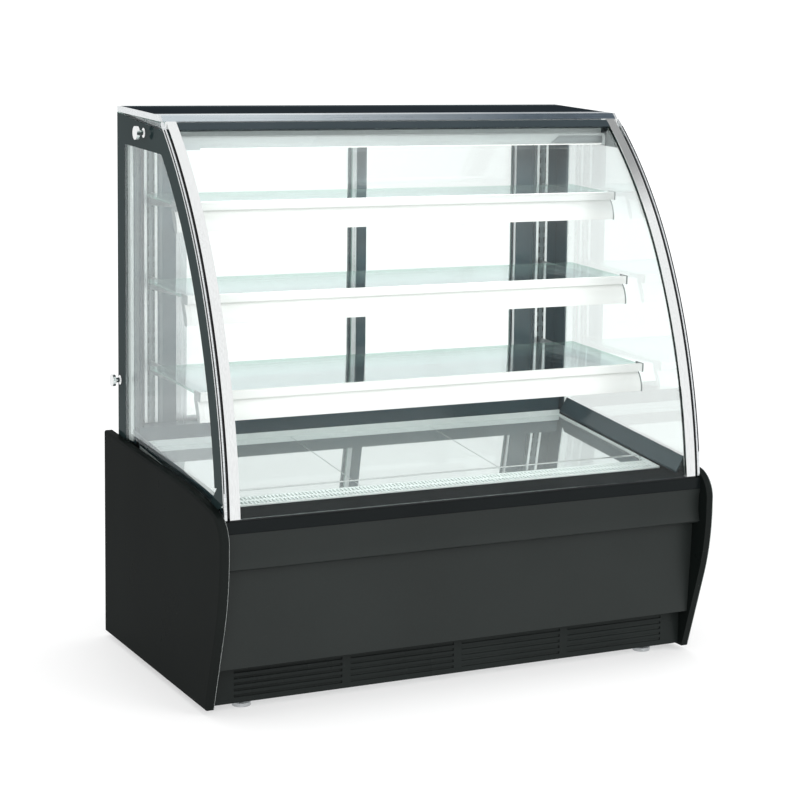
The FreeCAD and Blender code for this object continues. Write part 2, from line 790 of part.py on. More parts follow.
def controls():
    face = "frame_rear_y + 19"
    plate = box("control_plate", "-430", face, f"control_z - 24", "190", "4", "48")
    shaft_hole = rod("knob_hole", "y", "knob_x", f"{face} - 1", "control_z", "4 + slip", "6")
    window = box("switch_window", f"switch_x - 12", f"{face} - 1", f"control_z - 16", "24", "6", "32")
    keep(cut("control_cut", plate, fuse("control_tools", [shaft_hole, window])), "control_panel")
    shaft = rod("knob_shaft", "y", "knob_x", f"{face} + 0.5", "control_z", "4", "5")
    grip = rod("knob_grip", "y", "knob_x", f"{face} + 4.5", "control_z", "15", "12")
    pointer = box("knob_pointer", f"knob_x - 1.5", f"{face} + 8", "control_z", "3", "9.5", "14")
    keep(fuse("knob_fused", [shaft, grip, pointer]), "thermostat_knob")
    rocker = along_x("rocker_body", [
        (f"{face} + 2.2", f"control_z - 12"), (f"{face} + 8", f"control_z - 13"),
        (f"{face} + 6", "control_z"), (f"{face} + 8", f"control_z + 13"),
        (f"{face} + 2.2", f"control_z + 12")], f"switch_x - 11", "22")
    keep(rocker, "lamp_switch")
    cord = pipe_line("cord", "5", [
        ("cord_x", f"{face} + 1", "cord_z"), ("cord_x", f"{face} + 26", "cord_z"),
        ("cord_x", f"{face} + 26", "cord_z - 70")])
    keep(fuse("cord_fused", cord), "power_cord")


# ---------------------------------------------------------------- glass house

def side_glass():
    """Side pane: curved front edge behind its trim, straight rear edge, hidden foot inside the base."""
    inset = "trim_depth"
    outline = [
        low_point("foot_angle", inset) + (f"low_radius - {inset}", -1),
        high_point("blend_angle", inset) + (f"high_radius - {inset}", -1),
        high_point("side_top_angle", inset),
        ("top_rear_y", "total_height - top_strip_tall - 0.5"),
        ("top_rear_y", "panel_back_top - 60"),
        ("-330", "ledge_z + 6"),
    ]
    return outline


def glass_house():
    for side, word in ((-1, "left"), (1, "right")):
        keep(along_x(f"side_pane_{word}", side_glass(), *both(side, SIDE_IN, SIDE_OUT)), f"side_glass_{word}")
    trims = [along_x(f"edge_trim_{word}",
                     curved_outline("-band_proud", "trim_depth - slip", "foot_angle", "trim_top_angle"),
                     *both(side, SIDE_IN, SIDE_OUT)) for side, word in ((-1, "left"), (1, "right"))]
    keep(group("edge_trim_pair", trims), "side_edge_trims")
    gaskets = [along_x(f"gasket_{word}", curved_outline("2", "12", "foot_angle + 0.2", "rail_foot_angle - 1.5"),
                       *both(side, f"{LEAF_HALF} + 1", f"{SIDE_IN} - 0.2"))
               for side, word in ((-1, "left"), (1, "right"))]
    seal = box("bottom_seal", f"-({LEAF_HALF})", "ledge_front_y + 2", "ledge_z + 0.05",
               f"2 * ({LEAF_HALF})", "9", "3")
    keep(group("gasket_set", gaskets + [seal]), "glass_gaskets")
    front_leaf()
    glass_pins()


HINGE_Y, HINGE_Z = high_point("hinge_angle", "hinge_inset")


def front_leaf():
    pane = along_x("front_pane", curved_outline("0", "front_glass_thick", "foot_angle", "glass_top_angle"),
                   f"-({LEAF_HALF}) + 2", f"2 * ({LEAF_HALF}) - 4")
    keep(pane, "front_glass")
    bands = [front_band(side) for side in (-1, 1)]
    keep(group("band_pair", bands), "front_bands")
    keep(hinge_rail(), "hinge_rail")
    pins = [rod(f"hinge_pin_{word}", "x", start, HINGE_Y, HINGE_Z, "2.5", "24 + 9")
            for word, start in (("left", f"-({LEAF_HALF}) - 4"), ("right", f"{LEAF_HALF} - 29"))]
    tabs = [box(f"hinge_tab_{word}", start, f"{HINGE_Y} - 6", f"{HINGE_Z} - 6", "4", "26",
                "total_height - top_front_drop - top_strip_tall - 0.2 - (" + HINGE_Z + ") + 6")
            for word, start in (("left", f"-({LEAF_HALF}) - 4.5"), ("right", f"{LEAF_HALF} + 0.5"))]
    hangers = [fuse(f"hinge_hanger_{index}", list(pair)) for index, pair in enumerate(zip(pins, tabs))]
    keep(group("hinge_bracket_pair", hangers), "hinge_brackets")


def front_band(side):
    """Polished channel around the glass edge, slotted for the pane and bored for the hinge pin."""
    word = "right" if side > 0 else "left"
    start, wide = both(side, f"{LEAF_HALF} - band_width", LEAF_HALF)
    body = along_x(f"band_{word}", curved_outline("-band_proud", "front_glass_thick + band_proud",
                                                  "foot_angle", "band_top_angle"), start, wide)
    groove = new_sketch(body, f"band_groove_{word}", "YZ_Plane",
                        start if side > 0 else f"-({LEAF_HALF}) + 1.95")
    draw(groove, curved_outline("-slip", "front_glass_thick + slip", "foot_angle - 1", "glass_top_angle + 0.1"))
    pocket(body, groove, "band_width - 1.95", reverse=True)
    bore = new_sketch(body, f"band_bore_{word}", "YZ_Plane", start)
    draw_circle(bore, HINGE_Y, HINGE_Z, "2.5 + slip")
    pocket(body, bore, wide, reverse=True)
    return body


def hinge_rail():
    """Extrusion that clamps the top edge of the pane and turns on the hinge pins."""
    start = f"-({LEAF_HALF}) + band_width + 0.5"
    wide = f"2 * ({LEAF_HALF} - band_width) - 1"
    clamp = [
        high_point("rail_foot_angle", "-2") + ("high_radius + 2", -1),
        high_point("hinge_angle", "-2"),
        high_point("hinge_angle", "12") + ("high_radius - 12", 1),
        high_point("rail_foot_angle + 0.5", "12"),
    ]
    body = along_x("hinge_rail_body", clamp, start, wide)
    bead = new_sketch(body, "hinge_bead", "YZ_Plane", start)
    draw_circle(bead, HINGE_Y, HINGE_Z, "8")
    pad(body, bead, wide)
    groove = new_sketch(body, "hinge_groove", "YZ_Plane", start)
    draw(groove, [
        high_point("rail_foot_angle - 0.2", "-slip") + ("high_radius + slip", -1),
        high_point("glass_top_angle + 0.02", "-slip"),
        high_point("glass_top_angle + 0.02", "front_glass_thick + slip")
        + ("high_radius - front_glass_thick - slip", 1),
        high_point("rail_foot_angle - 0.2", "front_glass_thick + slip"),
    ])
    pocket(body, groove, wide, reverse=True)
    bore = new_sketch(body, "hinge_bore", "YZ_Plane", start)
    draw_circle(bore, HINGE_Y, HINGE_Z, "2.5 + slip")
    pocket(body, bore, wide, reverse=True)
    return body


def glass_pins():
    """Stand-off pins with round heads, two on each side pane."""
    pins = []
    for side, word in ((-1, "left"), (1, "right")):
        for place in ("front", "rear"):
            y = f"pin_{place}_y"
            z = f"pin_{place}_z"
            name = f"pin_{place}_{word}"
            foot_x, foot_long = both(side, SIDE_OUT, f"{SIDE_OUT} + 3")
            stem_x, stem_long = both(side, f"{SIDE_OUT} + 3", f"{SIDE_OUT} + 16")
            head_x, head_long = both(side, f"{SIDE_OUT} + 16", f"{SIDE_OUT} + 23")
            pins.append(fuse(name, [
                rod(name + "_foot", "x", foot_x, y, z, "11", foot_long),
                rod(name + "_stem", "x", stem_x, y, z, "6", stem_long),
                rod(name + "_head", "x", head_x, y, z, "pin_head_radius", head_long)]))
    keep(group("glass_pin_set", pins), "glass_pins")


TOP_FRONT_Z = "(total_height - top_front_drop)"


def top_frame():
    slope = "(top_front_drop / (top_rear_y - top_front_y))"
    rail_deep = "40"
    back_z = f"({TOP_FRONT_Z} + {rail_deep} * {slope})"
    rail = [
        ("top_front_y", TOP_FRONT_Z),
        ("top_front_y - 13", f"{TOP_FRONT_Z} - top_strip_tall"),
        (f"top_front_y + {rail_deep}", f"{TOP_FRONT_Z} - top_strip_tall"),
        (f"top_front_y + {rail_deep}", back_z),
    ]
    inner_half = SIDE_IN
    keep(along_x("top_front_body", rail, f"-({inner_half}) + slip", f"2 * ({inner_half}) - 2 * slip"),
         "top_front_rail")
    panel = [
        (f"top_front_y + {rail_deep} + slip", back_z),
        (f"top_front_y + {rail_deep} + slip", f"{back_z} - 8"),
        ("top_rear_y - 32", f"total_height - 32 * {slope} - 8"),
        ("top_rear_y - 32", f"total_height - 32 * {slope}"),
    ]
    keep(along_x("top_panel_body", panel, f"-({inner_half}) + slip", f"2 * ({inner_half}) - 2 * slip"),
         "top_panel")
    strip = [
        ("top_front_y", TOP_FRONT_Z),
        ("top_front_y - 13", f"{TOP_FRONT_Z} - top_strip_tall"),
        ("top_rear_y", "total_height - top_strip_tall"),
        ("top_rear_y", "total_height"),
    ]
    strips = [along_x(f"top_strip_{word}", strip, *both(side, inner_half, SIDE_OUT))
              for side, word in ((-1, "left"), (1, "right"))]
    keep(group("top_strip_pair", strips), "top_side_strips")
    keep(along_x("top_rear_body", track_outline(slope), f"-({inner_half}) + slip",
                 f"2 * ({inner_half}) - 2 * slip"), "top_rear_rail")


def track_outline(slope):
    """Rear header with two grooves below that guide the tops of the doors."""
    lip = "door_top_z - 8"
    web = "door_top_z + 3"
    gap = "(door_thick + 1)"
    first = "door_front_y - 0.5"
    second = f"{first} + door_pitch_y"
    return [
        ("top_rear_y - 32 + slip", f"total_height - (32 - slip) * {slope}"),
        ("top_rear_y - 32 + slip", "total_height - 25"),
        (f"{first} - 3", "total_height - 25"),
        (f"{first} - 3", lip),
        (first, lip),
        (first, web),
        (f"{first} + {gap}", web),
        (f"{first} + {gap}", lip),
        (second, lip),
        (second, web),
        (f"{second} + {gap}", web),
        (f"{second} + {gap}", lip),
        (f"{second} + {gap} + 3", lip),
        (f"{second} + {gap} + 3", "total_height - 25"),
        ("top_rear_y", "total_height - 25"),
        ("top_rear_y", "total_height"),
    ]


def lamp():
    """A hooded channel with a chamfered nose, hung by a flange, and the flat diffuser that closes its foot."""
    front, rear, top, skin = "lamp_front_y", "lamp_rear_y", "lamp_top_z", "lamp_skin"
    flange = f"{front} + 17"
    ceiling = f"{TOP_FRONT_Z} - top_strip_tall - 0.2"
    canopy = [
        (front, top), (front, f"{top} - 14"), (f"{front} + 8", f"{top} - 24"), (f"{front} + 8", f"{top} - 21"),
        (f"{front} + {skin}", f"{top} - 13"), (f"{front} + {skin}", f"{top} - {skin}"),
        (f"{rear} - {skin}", f"{top} - {skin}"), (f"{rear} - {skin}", f"{top} - 24"), (rear, f"{top} - 24"),
        (rear, top), (f"{flange} + {skin}", top), (f"{flange} + {skin}", ceiling), (flange, ceiling),
        (flange, top),
    ]
    keep(along_x("lamp_canopy_body", canopy, "-lamp_half", "2 * lamp_half"), "lamp_canopy")
    diffuser = rectangle(f"{front} + 8.5", f"{top} - 26", f"{rear} - {front} - {skin} - 9", "6")
    keep(along_x("lamp_diffuser_body", diffuser, "-lamp_half + 2", "2 * lamp_half - 4"), "lamp_diffuser")


# ---------------------------------------------------------------- rear service side

def rear_side():
    foot = "panel_back_top - 12 + 0.1"
    head = "total_height - 25.2"
    tall = f"({head}) - ({foot})"
    posts = []
    jambs = []
    for side, word in ((-1, "left"), (1, "right")):
        outer = f"({SIDE_IN} - 8)"
        post = [
            (sided(side, "post_inner_x"), "post_face_y"), (sided(side, outer), "post_face_y"),
            (sided(side, outer), "post_side_y"), (sided(side, f"{outer} + 3"), "post_side_y"),
            (sided(side, f"{outer} + 3"), "post_face_y + 3"), (sided(side, "post_inner_x"), "post_face_y + 3"),
        ]
        posts.append(along_z(f"rear_post_{word}", post, foot, tall))
        jamb = [
            (sided(side, "door_outer_x + 1"), "post_face_y + 3.5"),
            (sided(side, "door_outer_x + 4"), "post_face_y + 3.5"),
            (sided(side, "door_outer_x + 4"), "top_rear_y - 2"),
            (sided(side, f"{outer} + 3"), "top_rear_y - 2"), (sided(side, f"{outer} + 3"), "top_rear_y + 1"),
            (sided(side, "door_outer_x + 1"), "top_rear_y + 1"),
        ]
        jambs.append(along_z(f"rear_jamb_{word}", jamb, foot, f"door_top_z - 8.1 - ({foot})"))
    keep(group("rear_post_pair", posts), "rear_posts")
    keep(group("rear_jamb_pair", jambs), "rear_jambs")
    keep(group("standard_pair", [shelf_standard(side) for side in (-1, 1)]), "shelf_standards")
    keep(lower_track(), "door_track")
    doors()


def shelf_standard(side):
    """Slotted upright that carries the shelf brackets."""
    word = "right" if side > 0 else "left"
    start, wide = both(side, "standard_x", "standard_x + standard_wide")
    body = along_y(f"standard_{word}", rectangle(start, "520", wide, "660"), "standard_face_y",
                   "post_face_y - standard_face_y - slip")
    sketch = new_sketch(body, f"standard_slots_{word}", "XZ_Plane", "-(standard_face_y)")
    for shift in ("7", "21"):
        draw(sketch, rectangle(f"{start} + {shift}", "530", "4", "14"))
    slots = pocket(body, sketch, "6")
    pattern(body, slots, "Z_Axis", "slot_pitch * 25", 26)
    return body


def lower_track():
    base = "panel_back_top - 12 + 0.1"
    lip = "door_bottom_z + 7"
    web = "door_bottom_z - 0.5"
    gap = "(door_thick + 1)"
    first = "door_front_y - 0.5"
    second = f"{first} + door_pitch_y"
    outline = [
        (f"{first} - 3", base), (f"{second} + {gap} + 3", base), (f"{second} + {gap} + 3", lip),
        (f"{second} + {gap}", lip), (f"{second} + {gap}", web), (second, web), (second, lip),
        (f"{first} + {gap}", lip), (f"{first} + {gap}", web), (first, web), (first, lip), (f"{first} - 3", lip),
    ]
    return along_x("track_body", outline, "-door_outer_x", "2 * door_outer_x")


def doors():
    """Two framed panes on separate tracks; their meeting stiles overlap at the middle."""
    layout = {
        "left": ("-door_outer_x", "door_lap", "door_front_y", "stile_wide", "door_lap + 4"),
        "right": ("0", "door_outer_x", "door_front_y + door_pitch_y", "stile_wide + 15", "stile_wide"),
    }
    for word, (low_x, high_x, y, left_stile, right_stile) in layout.items():
        tall = "door_top_z - door_bottom_z"
        wide = f"({high_x}) - ({low_x})"
        rail = "28"
        frame = along_y(f"door_{word}_body", rectangle(low_x, "door_bottom_z", wide, tall), y, "door_thick")
        window = new_sketch(frame, f"door_{word}_window", "XZ_Plane", f"-({y})")
        draw(window, rectangle(f"{low_x} + {left_stile}", f"door_bottom_z + {rail}",
                               f"{wide} - {left_stile} - {right_stile}", f"{tall} - 2 * {rail}"))
        pocket(frame, window, "door_thick")
        keep(frame, f"door_{word}_frame")
        pane = box(f"door_{word}_pane", f"{low_x} + {left_stile} + slip", f"{y} + 1.5",
                   f"door_bottom_z + {rail} + slip", f"{wide} - {left_stile} - {right_stile} - 2 * slip",
                   "5", f"{tall} - 2 * {rail} - 2 * slip")
        keep(pane, f"door_{word}_glass")


# ---------------------------------------------------------------- shelves

FASCIA = [
    ("0", "2"), ("0", "-16"), ("22", "-16", "63", 1), ("1", "-63"), ("4", "-63", "60", -1), ("25", "-16"),
    ("25", "-9"), ("30", "-9"), ("30", "-shelf_thick - 0.1"), ("9.9", "-shelf_thick - 0.1"), ("9.9", "2"),
]
END_CAP = [
    ("-1", "3"), ("-1", "-17"), ("21", "-17", "63", 1), ("0", "-64"), ("6", "-64"), ("30", "-17"),
    ("30", "3"),
]


def shelves():
    panes, fascias, caps, brackets = [], [], [], []
    for level in ("upper", "middle", "lower"):
        y = f"shelf_{level}_y"
        z = f"shelf_{level}_z"
        deep = f"shelf_{level}_depth"
        pane = along_x(f"shelf_{level}_pane", rectangle("10", "-shelf_thick", f"{deep} - 10", "shelf_thick"),
                       "-shelf_half", "2 * shelf_half")
        fascia = along_x(f"shelf_{level}_fascia", FASCIA, "-shelf_half", "2 * shelf_half")
        panes.append(tilt(pane, y, z, "shelf_tilt"))
        fascias.append(tilt(fascia, y, z, "shelf_tilt"))
        for side, word in ((-1, "left"), (1, "right")):
            cap = along_x(f"shelf_{level}_cap_{word}", END_CAP,
                          *both(side, "shelf_half + 0.1", "shelf_half + 3"))
            caps.append(tilt(cap, y, z, "shelf_tilt"))
            brackets.append(tilt(shelf_bracket(level, side, word), y, z, "shelf_tilt"))
    keep(group("shelf_pane_set", panes), "shelf_glasses")
    keep(group("fascia_set", fascias), "shelf_fascias")
    keep(group("cap_set", caps), "shelf_end_caps")
    keep(group("bracket_set", brackets), "shelf_brackets")


def shelf_bracket(level, side, word):
    """Tapered cantilever arm from the standard's face to just behind the fascia."""
    reach = f"((standard_face_y - shelf_{level}_y) / cos(shelf_tilt))"
    top = "-shelf_thick - 0.1"
    rear_top = f"({reach} + ({top}) * tan(shelf_tilt) - 0.3)"
    rear_foot = f"({reach} - 36 * tan(shelf_tilt) - 0.3)"
    outline = [("34", top), ("34", f"{top} - 10"), (rear_foot, "-36"), (rear_top, top)]
    start, wide = both(side, "standard_x + 14", "standard_x + 18")
    return along_x(f"bracket_{level}_{word}", outline, start, wide)


# ---------------------------------------------------------------- build, check, write

def check():
    broken = [thing.Name for thing in doc.Objects if {"Invalid", "Error"} & set(thing.State)]
    if broken:
        raise RuntimeError("failed objects: " + ", ".join(broken))
    for node in nodes:
        if node.Shape.isNull() or not node.Shape.isValid():
            raise RuntimeError("bad shape: " + node.Label)


def write():
    os.makedirs("parts", exist_ok=True)
    for node in nodes:
        node.Shape.exportStep(f"parts/{node.Label}.step")


def build():
    fill_sheet()
    side_panels()
    base_frame()
    feet()
    front_rail()
    front_bumper()
    lower_front_panel()
    kick_and_rear()
    rear_ledge()
    well_tub()
    evaporator()
    deck()
    machine_space()
    glass_house()
    top_frame()
    lamp()
    rear_side()
    shelves()
    doc.recompute()
    check()
    write()


build()
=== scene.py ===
"""Looks of the curved-glass display showcase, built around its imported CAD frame.

Metres, +X to the customer's right, +Y to the rear, +Z up. Places come from the boxes of the CAD nodes.
"""

import json
import math

import bmesh
import bpy
from mathutils import Matrix, Vector

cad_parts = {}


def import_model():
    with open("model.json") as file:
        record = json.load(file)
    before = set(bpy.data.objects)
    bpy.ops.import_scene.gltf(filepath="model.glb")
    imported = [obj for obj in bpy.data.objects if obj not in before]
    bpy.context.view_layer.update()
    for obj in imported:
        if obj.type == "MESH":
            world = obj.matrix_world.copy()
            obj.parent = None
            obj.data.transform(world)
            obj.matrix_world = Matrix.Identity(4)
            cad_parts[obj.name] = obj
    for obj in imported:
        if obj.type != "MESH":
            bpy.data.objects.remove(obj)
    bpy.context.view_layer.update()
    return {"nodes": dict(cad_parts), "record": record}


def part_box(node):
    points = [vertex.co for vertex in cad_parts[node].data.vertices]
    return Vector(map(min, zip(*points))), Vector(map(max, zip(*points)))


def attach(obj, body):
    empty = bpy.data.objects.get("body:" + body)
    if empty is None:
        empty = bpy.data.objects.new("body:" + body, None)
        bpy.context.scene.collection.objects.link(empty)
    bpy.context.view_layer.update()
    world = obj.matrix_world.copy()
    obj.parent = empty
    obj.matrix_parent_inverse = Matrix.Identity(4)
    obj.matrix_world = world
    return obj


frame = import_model()
NODES = frame["nodes"]
MM = 0.001


# ---------------------------------------------------------------- material building blocks

class Surface:
    """A new material's node tree, with short ways to add and join nodes."""

    def __init__(self, name):
        self.material = bpy.data.materials.new(name)
        self.material.use_nodes = True
        self.tree = self.material.node_tree
        self.tree.nodes.clear()
        self.output = self.add("OutputMaterial")
        self.place = self.add("TexCoord").outputs["Object"]

    def add(self, kind, **values):
        node = self.tree.nodes.new("ShaderNode" + kind)
        for key, value in values.items():
            setattr(node, key, value)
        return node

    def join(self, source, target):
        self.tree.links.new(source, target)

    def feed(self, target, value):
        """Sets an input to a number or a colour, or links it to another node's output."""
        if isinstance(value, bpy.types.NodeSocket):
            self.join(value, target)
        elif target.type == "RGBA" and not isinstance(value, (int, float)):
            target.default_value = (*value[:3], 1)
        else:
            target.default_value = value

    def math(self, operation, *values, clamp=False):
        node = self.add("Math", operation=operation, use_clamp=clamp)
        for socket, value in zip(node.inputs, values):
            self.feed(socket, value)
        return node.outputs[0]

    def stretched(self, scale):
        """The object's coordinates multiplied by scale, one factor per axis."""
        node = self.add("Mapping")
        self.join(self.place, node.inputs["Vector"])
        node.inputs["Scale"].default_value = scale
        return node.outputs[0]

    def noise(self, scale, detail=4.0, grain=(1, 1, 1)):
        """Noise from 0 to 1, centred on 0.5; a small factor in grain draws it out along that axis."""
        node = self.add("TexNoise")
        self.join(self.stretched(grain), node.inputs["Vector"])
        node.inputs["Scale"].default_value = scale
        node.inputs["Detail"].default_value = detail
        return node.outputs["Fac"]

    def ranged(self, value, low, high, start=0.35, end=0.65):
        """value from start..end mapped to low..high, held at both ends."""
        node = self.add("MapRange")
        self.feed(node.inputs["Value"], value)
        for key, number in (("From Min", start), ("From Max", end), ("To Min", low), ("To Max", high)):
            self.feed(node.inputs[key], number)
        return node.outputs["Result"]

    def blend(self, factor, first, second):
        """Colour between first and second."""
        node = self.add("Mix", data_type="RGBA")
        self.feed(node.inputs["Factor"], factor)
        self.feed(node.inputs[6], first)
        self.feed(node.inputs[7], second)
        return node.outputs[2]

    def toned(self, colour, spread, value):
        """colour made darker and lighter by the share spread, as value goes over its range."""
        dark = [channel * (1 - spread) for channel in colour]
        light = [min(1.0, channel * (1 + spread)) for channel in colour]
        return self.blend(self.ranged(value, 0.0, 1.0), dark, light)

    def bumped(self, height, strength, depth=0.2 * MM, edge=0.8 * MM):
        """A normal with fine relief, and arrises rounded over the radius edge."""
        node = self.add("Bump")
        node.inputs["Strength"].default_value = strength
        node.inputs["Distance"].default_value = depth
        self.join(height, node.inputs["Height"])
        if edge:
            self.join(self.soft_normal(edge), node.inputs["Normal"])
        return node.outputs["Normal"]

    def soft_normal(self, radius):
        node = self.add("Bevel", samples=4)
        node.inputs["Radius"].default_value = radius
        return node.outputs["Normal"]

    def arris(self, radius):
        """1 on sharp outer and inner corners, 0 on flat faces."""
        dot = self.add("VectorMath", operation="DOT_PRODUCT")
        self.join(self.soft_normal(radius), dot.inputs[0])
        self.join(self.add("NewGeometry").outputs["True Normal"], dot.inputs[1])
        return self.ranged(self.math("SUBTRACT", 1.0, dot.outputs["Value"]), 0.0, 1.0, 0.02, 0.3)

    def glint(self, radius):
        """Mask for a painted highlight: 1 along upright corners that face the front right, where the key
        light strikes.
        """
        parts = self.add("SeparateXYZ")
        self.join(self.soft_normal(radius), parts.inputs[0])
        return self.math("MULTIPLY", self.ranged(parts.outputs[0], 0.0, 1.0, 0.2, 0.5),
                         self.ranged(parts.outputs[1], 1.0, 0.0, -0.5, -0.2))

    def fresnel(self, low, high, index=1.45):
        """Mirror share: low when seen squarely, and high at a grazing angle."""
        node = self.add("Fresnel")
        node.inputs["IOR"].default_value = index
        return self.ranged(node.outputs[0], low, high, 0.03, 1.0)

    def mixed(self, factor, first, second):
        node = self.add("MixShader")
        self.feed(node.inputs["Fac"], factor)
        self.join(first, node.inputs[1])
        self.join(second, node.inputs[2])
        return node.outputs[0]

    def shader(self, kind, **inputs):
        node = self.add(kind)
        for key, value in inputs.items():
            self.feed(node.inputs[key.replace("_", " ")], value)
        return node.outputs[0]

    def done(self, shader):
        self.join(shader, self.output.inputs["Surface"])
        return self.material


def painted(name, colour, rough, low, high, spread=0.12, peel=0.10, wear=0.35, edge=0.8 * MM, lit=None):
    """Paint or moulded plastic: cloudy tone, orange-peel relief, rubbed arrises and a bounded sheen.

    The colour lit, if there is one, is a painted highlight along the upright corners that face the key light.
    """
    s = Surface(name)
    cloud = s.noise(2.6, 5.0)
    speck = s.noise(260.0, 3.0)
    tone = s.toned(colour, spread, cloud)
    tone = s.blend(s.ranged(speck, 0.0, 0.25, 0.55, 0.75), tone, [min(1.0, c * 1.25 + 0.004) for c in colour])
    rubbed = s.math("MULTIPLY", s.arris(edge), s.ranged(s.noise(35.0, 6.0), 0.0, wear, 0.40, 0.70))
    tone = s.blend(rubbed, tone, [min(1.0, c * 2.0 + 0.02) for c in colour])
    if lit:
        # painted highlight: the lit colour is laid over the corners that face the key light
        tone = s.blend(s.glint(2.5 * MM), tone, lit)
    normal = s.bumped(s.noise(900.0, 2.0), peel, edge=edge)
    roughness = s.ranged(s.noise(7.0, 6.0), rough * 0.85, rough * 1.2)
    base = s.shader("BsdfDiffuse", Color=tone, Roughness=0.3, Normal=normal)
    gloss = s.shader("BsdfGlossy", Color=(1, 1, 1), Roughness=roughness, Normal=normal)
    return s.done(s.mixed(s.fresnel(low, high), base, gloss))


def brushed(name, colour, rough, grain=(1, 1, 1), relief=0.12, spread=0.10, metal=1.0, edge=0.5 * MM,
            second=None):
    """Metal with lines drawn along the axis that grain makes small, and slight handling marks.

    second gives (offset, start, end, colour): the colour comes in as the distance from x = offset or
    x = -offset goes from start to end. With an offset of 0 it comes in as x itself goes from start to end.
    """
    s = Surface(name)
    line = s.noise(420.0, 3.0, grain)
    smudge = s.noise(9.0, 6.0)
    tone = s.toned(colour, spread, line)
    if second:
        offset, start, end, other = second
        parts = s.add("SeparateXYZ")
        s.join(s.place, parts.inputs[0])
        along = parts.outputs[0]
        if offset:
            along = s.math("ABSOLUTE", s.math("SUBTRACT", s.math("ABSOLUTE", along), offset))
        tone = s.blend(s.ranged(along, 0.0, 1.0, start, end), tone, other)
    roughness = s.math("ADD", s.ranged(line, rough * 0.8, rough * 1.2), s.ranged(smudge, 0.0, rough * 0.5))
    return s.done(s.shader("BsdfPrincipled", Base_Color=tone, Metallic=metal, Roughness=roughness,
                           Normal=s.bumped(line, relief, 0.05 * MM, edge)))


EDGE_GREEN = (0.62, 0.80, 0.74)


def pane(name, axis, across, tint=(0.985, 0.995, 0.99), mirror=(0.035, 0.75)):
    """Clear toughened glass with ground green edges.

    With across true the clear faces look along the axis, and the edges are the faces that don't. With
    across false, for a pane that bends round the axis, the edges are the faces that look along it.
    """
    s = Surface(name)
    parts = s.add("SeparateXYZ")
    s.join(s.add("NewGeometry").outputs["True Normal"], parts.inputs[0])
    along = s.math("ABSOLUTE", parts.outputs[axis])
    ground = s.ranged(along, 1.0 if across else 0.0, 0.0 if across else 1.0, 0.45, 0.6)
    smear = s.ranged(s.noise(4.5, 4.0), 0.0, 0.03, 0.5, 0.75)
    clear = s.shader("BsdfTransparent", Color=s.toned(tint, 0.004, s.noise(3.0)))
    shine = s.shader("BsdfGlossy", Color=(0.95, 0.99, 1.0), Roughness=smear)
    face = s.mixed(s.fresnel(*mirror, 1.5), clear, shine)
    grit = s.bumped(s.noise(700.0, 2.0), 0.25, edge=None)
    rim = s.mixed(0.30, s.shader("BsdfTransparent", Color=EDGE_GREEN),
                  s.shader("BsdfDiffuse", Color=[c * 0.75 for c in EDGE_GREEN], Normal=grit))
    return s.done(s.mixed(ground, face, rim))


def printed(name, colour):
    """Ceramic print on the glass: smooth, dark slate, with pinholes and the glass's own gloss."""
    s = Surface(name)
    cloud = s.toned(colour, 0.10, s.noise(3.0, 5.0))
    pinhole = s.ranged(s.noise(1600.0, 1.0), 0.0, 0.3, 0.70, 0.78)
    base = s.shader("BsdfDiffuse", Color=s.blend(pinhole, cloud, [c * 1.8 for c in colour]))
    gloss = s.shader("BsdfGlossy", Color=(0.95, 1, 1), Roughness=s.ranged(s.noise(5.0, 6.0), 0.02, 0.10))
    return s.done(s.mixed(s.fresnel(0.02, 0.15, 1.5), base, gloss))


def spangled(name, colour, rough):
    """Hot-dip galvanised sheet: patches of crystals, each with its own tone and sheen."""
    s = Surface(name)
    cells = s.add("TexVoronoi")
    s.join(s.place, cells.inputs["Vector"])
    cells.inputs["Scale"].default_value = 70.0
    shade = s.add("RGBToBW")
    s.join(cells.outputs["Color"], shade.inputs[0])
    tone = s.blend(shade.outputs[0], [c * 0.78 for c in colour], [min(1, c * 1.12) for c in colour])
    roughness = s.ranged(shade.outputs[0], rough * 0.7, rough * 1.2, 0.0, 1.0)
    return s.done(s.shader("BsdfPrincipled", Base_Color=tone, Metallic=0.85, Roughness=roughness,
                           Normal=s.bumped(s.noise(300.0), 0.08, edge=0.5 * MM)))


def opal(name, colour, glow):
    """Milky lamp cover, ribbed along its length, lit from within by a row of diodes."""
    s = Surface(name)
    parts = s.add("SeparateXYZ")
    s.join(s.place, parts.inputs[0])
    rib_pitch = 3 * MM
    diode_pitch = 16 * MM
    wave = s.math("SINE", s.math("MULTIPLY", parts.outputs[1], 2 * math.pi / rib_pitch))
    diode = s.math("SINE", s.math("MULTIPLY", parts.outputs[0], 2 * math.pi / diode_pitch))
    normal = s.bumped(wave, 0.2, 0.3 * MM, None)
    tone = s.toned(colour, 0.03, s.noise(40.0))
    base = s.shader("BsdfPrincipled", Base_Color=tone, Roughness=0.35, Normal=normal)
    strength = s.ranged(diode, glow * 0.85, glow, -1.0, 1.0)
    light = s.shader("Emission", Color=(1.0, 0.985, 0.96), Strength=strength)
    return s.done(s.mixed(0.7, base, light))


# ---------------------------------------------------------------- the showcase's finishes

ALONG_X = (0.01, 1, 1)
ALONG_Z = (1, 1, 0.01)
WALL_X, WALL_Y, WALL_Z = 0, 1, 2

